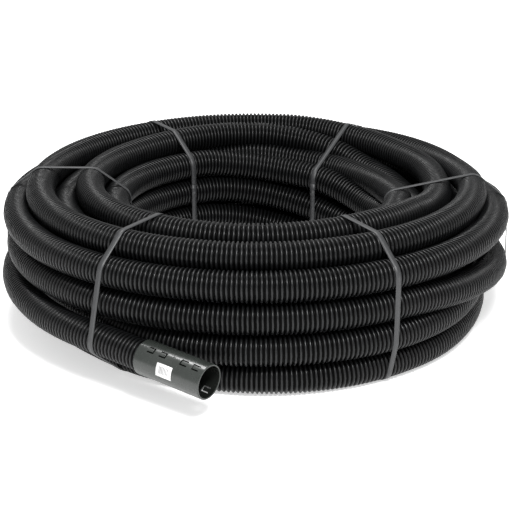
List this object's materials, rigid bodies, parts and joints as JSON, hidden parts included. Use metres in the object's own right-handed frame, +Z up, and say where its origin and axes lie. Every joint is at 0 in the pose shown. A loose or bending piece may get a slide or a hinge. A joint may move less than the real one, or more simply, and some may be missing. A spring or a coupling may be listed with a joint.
{
  "type": "corrugated drainage pipe coil",
  "caption": "Strapped coil of black corrugated plastic pipe lying flat, with a push-fit sleeve coupler on its free end.",
  "frame": {"origin": "centre of the bounding box on the ground under the coil", "axes": "+Z up along the coil's axis, -Y towards the picture's camera and the coupled end"},
  "size_m": [1.1214, 1.2187, 0.3027],
  "materials": {
    "pipe": "semi-matt black polyethylene",
    "coupler": "smooth dark grey moulding",
    "strap": "dark woven polypropylene tape"
  },
  "bodies": {
    "root": {"coiled_pipe": "pipe", "coupler": "coupler", "strap_1": "strap", "strap_2": "strap", "strap_3": "strap", "strap_4": "strap", "strap_5": "strap", "strap_6": "strap"}
  },
  "joints": []
}
